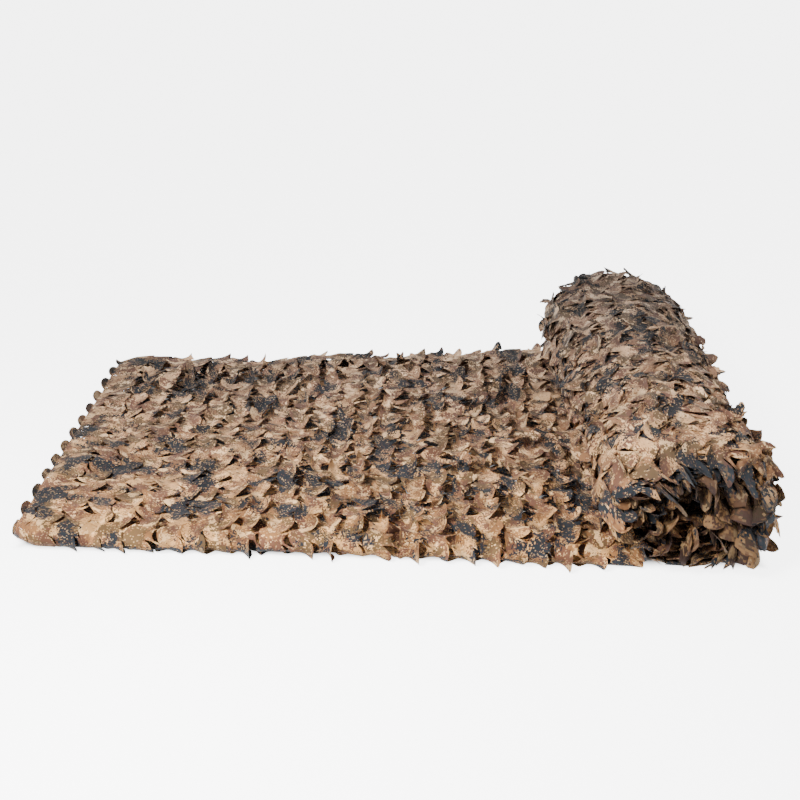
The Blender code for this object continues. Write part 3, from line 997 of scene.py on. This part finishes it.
    place = strayed(root_x)
    closed = sampled(flat, strayed(flat_x))
    position = sampled(flat, place)
    outward, forward, pull = (sampled(arrow(name), place) for name in ("outward", "forward", "pull"))
    patch = CALM_PATCH + noise(root_x, *SLACK_NOISE, 0) * PATCHINESS
    slack = sampled(field("slack"), place, "FLOAT") * patch
    sideways = net.vectors("CROSS_PRODUCT", outward, forward)
    curl, twist = field("curl"), field("twist")
    bend = slack * (field("raise") + curl * reach / LEAF_LENGTH + twist * side * heading)
    cup = side * side * reach * curl * slack * CUP
    lip = field("lip") * slack
    wave = unevenness(root_x + given["Print Along"], RIPPLE_NOISE, given["Ripple"] * slack * 2)
    ahead = heading * (reach * net.math("COSINE", bend) + given["Gape"] * lip) + net.part(wave, 0)
    swing = slack * field("sway") * reach + net.part(wave, 1)
    rise = reach * net.math("SINE", bend) - cup - given["Sag"] * lip + net.part(wave, 2)
    for direction, amount in ((forward, ahead), (sideways, swing), (outward, rise), (pull, reach * slack)):
        position = net.vectors("ADD", position, net.scaled(direction, amount))
    # Where the cloth is taut its cuts stay shut, so the leaf keeps to the sheet.
    freed = net.ramp(slack, 0.0, SHUT_SLACK, kind="SMOOTHSTEP")
    position = net.vectors("ADD", closed, net.scaled(net.vectors("SUBTRACT", position, closed), freed))
    position = net.vectors("MAXIMUM", position, net.vector(-100.0, -100.0, given["Floor"]))
    cloth = step("SetShadeSmooth", step("SetPosition", cloth, {"Position": position}))
    cloth = step("SetMaterial", cloth, {"Material": given["Material"]})
    net.node("NodeGroupOutput", (), {"Net": cloth})
    return tree


def show(name, mesh):
    piece = bpy.data.objects.new(name, mesh)
    bpy.context.scene.collection.objects.link(piece)
    return piece


def drop_columns(mesh, names):
    for name in names:
        if name in mesh.attributes:
            mesh.attributes.remove(mesh.attributes[name])


def cut_cloth(name, sheet, values):
    """Runs the net tree on a smooth sheet and keeps the result as a plain mesh."""
    tree = bpy.data.node_groups.get("leaf_cut_net") or net_tree()
    bpy.context.scene.collection.objects.link(sheet)
    modifier = sheet.modifiers.new("net", "NODES")
    modifier.node_group = tree
    sockets = {item.name: item.identifier for item in tree.interface.items_tree}
    for socket, value in values.items():
        modifier[sockets[socket]] = value
    graph = bpy.context.evaluated_depsgraph_get()
    evaluated = sheet.evaluated_get(graph)
    mesh = bpy.data.meshes.new_from_object(evaluated, preserve_all_data_layers=True, depsgraph=graph)
    mesh.name = name
    drop_columns(mesh, TILE_COLUMNS + LEAF_COLUMNS)
    bpy.data.objects.remove(sheet)
    return show(name, mesh)


def uncut_cloth(name, sheet, size, material, shade):
    """Keeps a smooth sheet as a plain piece of the printed cloth, with its print laid out to size."""
    mesh = sheet.data
    vertices = np.empty(len(mesh.loops), dtype=np.int32)
    mesh.loops.foreach_get("vertex_index", vertices)
    flat = np.empty(2 * len(mesh.vertices), dtype=np.float32)
    mesh.attributes["flat"].data.foreach_get("vector", flat)
    cloth = mesh.uv_layers.new(name="cloth")
    cloth.uv.foreach_set("vector", (flat.reshape(-1, 2)[vertices] * size).astype(np.float32).ravel())
    # One shade for the whole piece; for the second turn it is set high, as painted light.
    shades = mesh.attributes.new("shade", "FLOAT", "POINT")
    shades.data.foreach_set("value", [shade] * len(mesh.vertices))
    drop_columns(mesh, SHEET_COLUMNS)
    mesh.polygons.foreach_set("use_smooth", [True] * len(mesh.polygons))
    mesh.materials.append(material)
    bpy.data.objects.remove(sheet)
    mesh.name = name
    return show(name, mesh)


def linear(shown):
    """A colour given as it is shown, from 0 to 255, turned into the linear one that shaders use."""
    shares = [channel / 255 for channel in shown]
    return [share / 12.92 if share <= 0.04045 else ((share + 0.055) / 1.055) ** 2.4 for share in shares]


def color_property(name, description, shown):
    given = {"name": name, "description": description, "default": linear(shown)}
    return FloatVectorProperty(subtype="COLOR", size=3, min=0.0, max=1.0, **given)


def angle_property(name, description, degrees):
    return FloatProperty(name=name, description=description, subtype="ANGLE", default=math.radians(degrees))


def number_property(name, description, number):
    return FloatProperty(name=name, description=description, default=number)


def length_property(name, description, metres):
    return FloatProperty(name=name, description=description, unit="LENGTH", default=metres)


class NettingLeaves(bpy.types.PropertyGroup):
    """How the cut leaves stand off the cloth."""

    spacing: length_property("Point spacing", "How far apart the mesh's points are on a leaf", 0.0062)
    coarse_spacing: length_property("Hidden spacing", "The same for its hidden layers", 0.0105)
    laid_least: angle_property("Laid, least raise", "How little a leaf of the laid-out end stands up", 9)
    laid_most: angle_property("Laid, most raise", "How far a leaf of the laid-out end stands up", 52)
    rolled_least: angle_property("Rolled, least raise", "How little a leaf of the roll stands up", 12)
    rolled_most: angle_property("Rolled, most raise", "How far a leaf of the roll stands up", 56)
    curl: angle_property("Curl", "How much the bends of two leaves towards their tips can differ", 65)
    twist: angle_property("Twist", "How much the twists of two leaves about their length can differ", 38)
    sway: number_property("Sway", "How far a leaf leans to one side", 0.35)
    stray: length_property("Stray", "How far the leaves lie from an even spacing", 0.028)
    sag: length_property("Sag", "How far the cloth hangs at the edge of a cut", 0.007)
    gape: length_property("Gape", "How far a cut's far edge is drawn away from its leaf", 0.006)
    ripple: length_property("Ripple", "How uneven the cloth between the leaves is", 0.013)


class NettingPrint(bpy.types.PropertyGroup):
    """The printed pattern's colours and the size of its squares."""

    square: length_property("Square", "Width of the print's smallest squares", 0.0032)
    sand: color_property("Sand", "Lightest ground colour", (208, 154, 94))
    tan: color_property("Tan", "Main ground colour", (152, 104, 62))
    brown: color_property("Brown", "Middle brown patches", (112, 74, 54))
    olive: color_property("Olive", "Olive brown patches", (105, 80, 50))
    slate: color_property("Slate", "Dark blue-grey patches", (39, 43, 48))
    fleck: color_property("Fleck", "Light flecks", (232, 186, 128))
    # How far the far end has paled and darkened: wear, and painted shade.
    far_fading_and_shade: number_property("Fading", "How far the colours have faded at the far end", 0.62)


class NettingStage(bpy.types.PropertyGroup):
    """The floor, the lights and the camera."""

    floor: color_property("Floor", "Colour of the floor", (246, 246, 246))
    floor_glow: number_property("Floor glow", "Light that the floor gives off", 5.0)
    surround: number_property("Surround", "Strength of the even light all round", 0.60)
    key: FloatProperty(name="Key", description="Power of the main light", subtype="POWER", default=100)
    fill: FloatProperty(name="Fill", description="Power of the second light", subtype="POWER", default=22)
    lens: number_property("Lens", "Focal length in millimetres", 54.0)


class NettingSettings(bpy.types.PropertyGroup):
    leaves: PointerProperty(type=NettingLeaves)
    print: PointerProperty(type=NettingPrint)
    stage: PointerProperty(type=NettingStage)


def new_material(name):
    """A material without nodes, and the wiring to add them."""
    material = bpy.data.materials.new(name)
    material.use_nodes = True
    material.node_tree.nodes.clear()
    return material, Wiring(material.node_tree)


def cloth_material(settings):
    """Printed woven cloth: square-edged patches over a fine plain weave, with a faint sheen."""
    material, net = new_material("printed_cloth")
    cloth = net.node("ShaderNodeUVMap", {"uv_map": "cloth"})
    fine = net.vectors("SNAP", cloth, (settings.square, settings.square, 1.0))
    broad = net.vectors("SNAP", cloth, (settings.square * 2, settings.square * 2, 1.0))
    places = {"fine": fine, "broad": broad}

    def patches(place, scale, seed, detail=2.0):
        shifted = net.vectors("ADD", place, (*(seed * part for part in PATCH_SHIFT), 0.0))
        values = {"Vector": shifted, "Scale": scale, "Detail": detail, "Roughness": 0.6}
        return net.node("ShaderNodeTexNoise", {"noise_dimensions": "2D"}, values)

    def squares(place, seed):
        shifted = net.vectors("ADD", place, (*(seed * part for part in SQUARE_SHIFT), 0.0))
        return net.node("ShaderNodeTexWhiteNoise", {"noise_dimensions": "2D"}, {"Vector": shifted})

    def threads(direction):
        bands = {"wave_type": "BANDS", "bands_direction": direction}
        return net.node("ShaderNodeTexWave", bands, {"Vector": cloth, "Scale": THREADS}, 1)

    def ragged(seed):
        """Small steps that make a patch's edge uneven."""
        small, large = squares(fine, seed) - 0.5, squares(broad, seed + 1) - 0.5
        return small * RAGGED_FINE + large * RAGGED_BROAD

    edges = (ragged(0), ragged(2))
    names = ("sand", "tan", "brown", "olive", "slate", "fleck")
    colors = {name: (*getattr(settings, name), 1.0) for name in names}
    color = colors["sand"]
    for name, place, scale, seed, edge, raggedness, least in PRINT_LAYERS:
        patch = patches(places[place], scale, seed) + edges[edge] * raggedness
        color = net.mix(patch > least, color, colors[name])
    for name, seed, least in SPECKS:
        color = net.mix((squares(fine, seed) > least) * SPECK_STRENGTH, color, colors[name])
    # A leaf's shade: a random tone, and painted shade or light on the flaps, the roll's near end and the
    # turn behind the outer one.
    shade = net.node("ShaderNodeAttribute", {"attribute_name": "shade"}, (), 2)
    faded = patches(cloth, *WEAR_NOISE)
    place = net.node("ShaderNodeTexCoord", (), (), 3)
    x, y, z = (net.part(place, axis) for axis in range(3))
    # Paler towards the far end and on the roll's upper side: wear, and painted dimming of the far end.
    far = net.ramp(y, *FADING_SPAN, NEAR_FADING, settings.far_fading_and_shade)
    high = net.ramp(z, *HIGH_SPAN, 0.0, HIGH_FADING)
    worn_and_dimmed = (far + high) * (WEAR_LEAST + faded * WEAR_RANGE)
    # Painted shade: the far end darker, most on its upper side.
    value = 1 - far * (high * FAR_TOP_SHADOW + FAR_SHADOW)
    values = {"Saturation": 1 - worn_and_dimmed * WORN_PALENESS, "Value": value, "Color": color}
    color = net.node("ShaderNodeHueSaturation", (), values)
    # Painted shade on the roll's near end face: slate mixed into the print.
    painted_end_shade = net.ramp(y, *PAINTED_END_SHADE_Y) * net.ramp(x, *PAINTED_END_SHADE_X) * PAINTED_END_SHADE
    color = net.mix(painted_end_shade, color, colors["slate"])
    color = net.scaled(color, LEAST_BRIGHTNESS + shade * SHADE_BRIGHTNESS + faded * WORN_BRIGHTNESS)
    height = threads("X") * threads("Y") * THREAD_HEIGHT + patches(cloth, *CREASE_NOISE)
    values = {
        "Base Color": color,
        "Roughness": ROUGHNESS + (squares(fine, 0) - 0.5) * ROUGHNESS_RANGE,
        "Normal": net.node("ShaderNodeBump", (), {"Strength": 0.35, "Distance": 0.004, "Height": height}),
        "Sheen Weight": 0.05,
        "Sheen Roughness": 0.45,
        "Specular IOR Level": 0.15,
    }
    shader = net.node("ShaderNodeBsdfPrincipled", (), values)
    net.node("ShaderNodeOutputMaterial", (), {"Surface": shader})
    return material


def floor_material(settings):
    """A pale floor whose own soft glow stops short of what lies on it, a painted shade under the netting.
    """
    material, net = new_material("stage_floor")
    place = net.node("ShaderNodeTexCoord", (), (), 3)
    x, y = net.part(place, 0), net.part(place, 1)
    (first, front_start, back_start, _), (last, front_end, back_end, _) = LAID_SECTIONS[1], LAID_SECTIONS[6]
    front = net.ramp(x, first, last, front_start, front_end)
    back = net.ramp(x, first, last, back_start, back_end)
    ends = net.math("MAXIMUM", LAID_END_X - x, x - (ROLL_X + ROLL_HALF_WIDTH))
    beyond = net.math("MAXIMUM", ends, net.math("MAXIMUM", front - y, y - back))
    # The glow is cut out under the netting: painted shade there.
    glow = net.ramp(beyond, -GLOW_INSET - GLOW_FADE, -GLOW_INSET, kind="SMOOTHSTEP")
    values = {
        "Base Color": (*settings.floor, 1.0),
        "Roughness": 0.9,
        "Emission Color": net.scaled((1.0, 1.0, 1.0), glow),
        "Emission Strength": settings.floor_glow,
    }
    shader = net.node("ShaderNodeBsdfPrincipled", (), values)
    net.node("ShaderNodeOutputMaterial", (), {"Surface": shader})
    return material


def backdrop_material(settings):
    """A plain glow, as bright as the floor's."""
    material, net = new_material("stage_backdrop")
    values = {"Color": (*settings.floor, 1.0), "Strength": settings.floor_glow}
    glow = net.node("ShaderNodeEmission", (), values)
    net.node("ShaderNodeOutputMaterial", (), {"Surface": glow})
    return material


def backdrop_mesh(radius, rings=12, steps=48):
    """A dome that opens downwards, its faces turned inwards."""
    points = [(0.0, 0.0, radius)]
    for ring in range(1, rings + 1):
        tilt = math.pi / 2 * ring / rings
        for step in range(steps):
            turn = math.tau * step / steps
            flat = radius * math.sin(tilt)
            points.append((flat * math.cos(turn), flat * math.sin(turn), radius * math.cos(tilt)))
    faces = [(0, 1 + (step + 1) % steps, 1 + step) for step in range(steps)]
    for ring in range(rings - 1):
        for step in range(steps):
            here, after = 1 + ring * steps, 1 + (ring + 1) * steps
            ahead = (step + 1) % steps
            faces.append((here + step, here + ahead, after + ahead, after + step))
    mesh = bpy.data.meshes.new("stage_backdrop")
    mesh.from_pydata(points, [], faces)
    return mesh


def fine_tiles(leaves):
    return bpy.data.collections.get("fine_tile") or make_tiles("fine_tile", leaves.spacing)


def coarse_tiles(leaves):
    return bpy.data.collections.get("coarse_tile") or make_tiles("coarse_tile", leaves.coarse_spacing)


def net_values(settings, least, most, inward, turned, wild):
    """The net tree's inputs that all pieces of one form share. Of their leaves the inward share curl back,
    and the turned share twist towards a higher row. Wild scales how far they lean and twist."""
    leaves = settings.leaves
    return {
        "Raise Least": least,
        "Raise Most": most,
        "Curl Least": -leaves.curl * inward,
        "Curl Most": leaves.curl * (1 - inward),
        "Twist Least": -leaves.twist * wild * (1 - turned),
        "Twist Most": leaves.twist * wild * turned,
        "Sway": leaves.sway * wild,
        **{name.title(): getattr(leaves, name) for name in ("sag", "gape", "stray", "ripple")},
        "Material": bpy.data.materials.get("printed_cloth") or cloth_material(settings.print),
    }


def rolled_values(settings, length, first_cell):
    """The net tree's inputs for a length of the roll's cloth that starts at this cell of the winding."""
    leaves = settings.leaves
    return {
        **net_values(settings, leaves.rolled_least, leaves.rolled_most, **ROLLED_LEAVES),
        "Tiles Along": round(length / TILE_LENGTH),
        "Print Along": (LAID_CELLS + first_cell) * CELL_LENGTH,
    }


def declare(piece, node):
    """Attaches a piece to the root and hides the solid part that it stands for."""
    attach(piece, "root")
    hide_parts(node)


def lay_pieces(pieces, form, along, node, shared):
    """Makes each piece of a cloth: its name, first row, tiles across, tiles, seed, what it rests on, and
    any inputs of its own."""
    for name, first_row, across, tiles, seed, rests_on, more in pieces:
        width = across * TILE_WIDTH
        last_row = first_row + width / CELL_WIDTH
        rows = np.linspace(first_row, last_row, round(ROW_STEPS * (last_row - first_row)))
        sheet = smooth_sheet(name, form, along, rows)
        own = {"Tiles": tiles, "Tiles Across": across, "Seed": seed, "Print Across": first_row * CELL_WIDTH}
        piece = cut_cloth(name, sheet, {**shared, **own, **more})
        length = shared["Tiles Along"] * TILE_LENGTH + more.get("Margin Along", 0.0)
        declare(piece, node)


class NETTING_OT_laid_cloth(bpy.types.Operator):
    """Lays out the loose end: its under layer, then its top layer with the fold"""

    bl_idname = "netting.laid_cloth"
    bl_label = "Laid-out cloth"

    def execute(self, context):
        settings = context.scene.netting
        leaves = settings.leaves
        fine, coarse = fine_tiles(leaves), coarse_tiles(leaves)
        scallop = plain_tile("scallop", scallop_border(), leaves.spacing)
        shared = net_values(settings, leaves.laid_least, leaves.laid_most, **LAID_LEAVES)
        shared["Tiles Along"] = LAID_TILES
        under, top = LAYER_TILES - FOLD_TILES, LAYER_TILES + FOLD_TILES
        top_row = under * TILE_WIDTH / CELL_WIDTH
        flaps = {
            "Margin Along": END_SCALLOP * CELL_LENGTH,
            "Scallop": scallop,
            "Scallops": round(top * TILE_WIDTH / SCALLOP_WIDTH),
        }
        pieces = (
            ("net_laid_under", 0.0, under, coarse, 3, [], {}),
            ("net_laid_top", top_row, top, fine, 1, ["net_laid_under"], flaps),
        )
        along = np.linspace(-END_SCALLOP, LAID_CELLS, LAID_STEPS * LAID_CELLS)
        lay_pieces(pieces, LAID, along, "net_loose_end", shared)
        bpy.data.objects.remove(scallop)
        return {"FINISHED"}


class NETTING_OT_rolled_cloth(bpy.types.Operator):
    """Winds the roll's outer turn: its outer layer with the fold, then its inner layer"""

    bl_idname = "netting.rolled_cloth"
    bl_label = "Outer turn of the roll"

    def execute(self, context):
        settings = context.scene.netting
        fine, coarse = fine_tiles(settings.leaves), coarse_tiles(settings.leaves)
        along, length = wound_places(0.0, OUTER_CELLS, WINDING_STEP)
        outer, inner = LAYER_TILES + FOLD_TILES, LAYER_TILES - FOLD_TILES
        inner_row = outer * TILE_WIDTH / CELL_WIDTH
        pieces = (
            ("net_roll_outer", 0.0, outer, fine, 2, ["net_laid_top"], {}),
            ("net_roll_inner", inner_row, inner, coarse, 4, ["net_roll_outer"], {}),
        )
        lay_pieces(pieces, ROLLED, along, "net_roll", rolled_values(settings, length, 0))
        return {"FINISHED"}


class NETTING_OT_inner_turns(bpy.types.Operator):
    """Winds the roll's inner turns: what shows at its two ends, and the plain turn behind its cuts"""

    bl_idname = "netting.inner_turns"
    bl_label = "Inner turns of the roll"

    def execute(self, context):
        settings = context.scene.netting
        coarse = coarse_tiles(settings.leaves)
        along, length = wound_places(*INNER_TURNS, WINDING_STEP)
        shared = rolled_values(settings, length, OUTER_CELLS)
        self.wind_second_turn(shared["Material"])
        near, far = NEAR_END_TILES, FAR_END_TILES
        near_row = LAYER_CELLS - near / 2 * TILE_WIDTH / CELL_WIDTH
        far_row = SHEET_CELLS - far * TILE_WIDTH / CELL_WIDTH
        # The near end's leaves are painted dark, a painted shade in the recessed end.
        pieces = (
            ("net_roll_near_end", near_row, near, coarse, 5, ["net_roll_inner"], NEAR_END_LEAVES),
            ("net_roll_far_end_outer", 0.0, far, coarse, 6, ["net_roll_inner"], FAR_END_LEAVES),
            ("net_roll_far_end_inner", far_row, far, coarse, 7, ["net_roll_inner"], FAR_END_LEAVES),
        )
        lay_pieces(pieces, ROLLED, along, "net_roll", shared)
        return {"FINISHED"}

    def wind_second_turn(self, material):
        """The uncut turn that shows through the outer turn's cuts."""
        name = "net_roll_second_turn"
        along, length = wound_places(0.0, ROLL_CELLS, SECOND_STEP)
        first_row, last_row = SECOND_ROWS
        rows = np.linspace(first_row, last_row, 3 * LAYER_CELLS)
        sheet = smooth_sheet(name, (second_surface, *ROLLED[1:]), along, rows)
        width = (last_row - first_row) * CELL_WIDTH
        # Its shade is set high: painted light in the hollows behind the outer turn's cuts.
        piece = uncut_cloth(name, sheet, (length, width), material, SECOND_TURN_PAINTED_LIGHT)
        declare(piece, "net_roll")


class NETTING_OT_stage(bpy.types.Operator):
    """Sets the floor, the lights and the camera"""

    bl_idname = "netting.stage"
    bl_label = "Stage"

    def execute(self, context):
        settings = context.scene.netting.stage
        side = STAGE_REACH
        corners = [(-side, -side, 0.0), (side, -side, 0.0), (side, side, 0.0), (-side, side, 0.0)]
        mesh = bpy.data.meshes.new("stage_floor")
        mesh.from_pydata(corners, [], [(0, 1, 2, 3)])
        mesh.materials.append(floor_material(settings))
        floor = show("stage_floor", mesh)
        floor.visible_diffuse = False
        dome = backdrop_mesh(side)
        dome.materials.append(backdrop_material(settings))
        backdrop = show("stage_backdrop", dome)
        backdrop.visible_diffuse = False
        backdrop.visible_glossy = False
        backdrop.visible_shadow = False

        world = bpy.data.worlds.new("stage_surround")
        context.scene.world = world
        world.use_nodes = True
        world.node_tree.nodes.clear()
        sky = Wiring(world.node_tree)
        direction = sky.node("ShaderNodeTexCoord", (), ())
        strength = (sky.part(direction, 2) > 0.0) * settings.surround
        background = sky.node("ShaderNodeBackground", (), {"Strength": strength})
        sky.node("ShaderNodeOutputWorld", (), {"Surface": background})
        self.add_light("key_light", *KEY_LIGHT, settings.key)
        self.add_light("fill_light", *FILL_LIGHT, settings.fill)

        lens = bpy.data.cameras.new("camera")
        lens.lens = settings.lens
        lens.sensor_width = SENSOR_WIDTH
        lens.clip_end = SEEN_TO
        camera = bpy.data.objects.new("camera", lens)
        camera.location = CAMERA_PLACE
        camera.rotation_euler = [math.radians(degrees) for degrees in CAMERA_TURN]
        context.scene.collection.objects.link(camera)
        context.scene.camera = camera
        return {"FINISHED"}

    def add_light(self, name, place, target, size, power):
        light = bpy.data.lights.new(name, "AREA")
        light.shape = "DISK"
        light.spread = LIGHT_SPREAD
        light.size = size
        light.energy = power
        lamp = bpy.data.objects.new(name, light)
        lamp.location = place
        lamp.visible_camera = False
        lamp.rotation_euler = (Vector(target) - Vector(place)).to_track_quat("-Z", "Y").to_euler()
        bpy.context.scene.collection.objects.link(lamp)


class NETTING_PT_panel(bpy.types.Panel):
    """Lists the netting's settings and the steps that make it"""

    bl_idname = "NETTING_PT_panel"
    bl_label = "Netting"
    bl_space_type = "VIEW_3D"
    bl_region_type = "UI"
    bl_category = "Netting"

    def draw(self, context):
        settings = context.scene.netting
        for group in (settings.leaves, settings.print, settings.stage):
            box = self.layout.box()
            for name in group.bl_rna.properties.keys():
                if name not in ("rna_type", "name"):
                    box.prop(group, name)
        for step in STEPS:
            self.layout.operator(step.bl_idname)


STEPS = (NETTING_OT_laid_cloth, NETTING_OT_rolled_cloth, NETTING_OT_inner_turns, NETTING_OT_stage)
CLASSES = (NettingLeaves, NettingPrint, NettingStage, NettingSettings, *STEPS, NETTING_PT_panel)


def register():
    for entry in CLASSES:
        bpy.utils.register_class(entry)
    bpy.types.Scene.netting = PointerProperty(type=NettingSettings)


def unregister():
    del bpy.types.Scene.netting
    for entry in reversed(CLASSES):
        bpy.utils.unregister_class(entry)


def main():
    register()
    bpy.ops.netting.laid_cloth()
    bpy.ops.netting.rolled_cloth()
    bpy.ops.netting.inner_turns()
    bpy.ops.netting.stage()


if __name__ == "__main__":
    main()
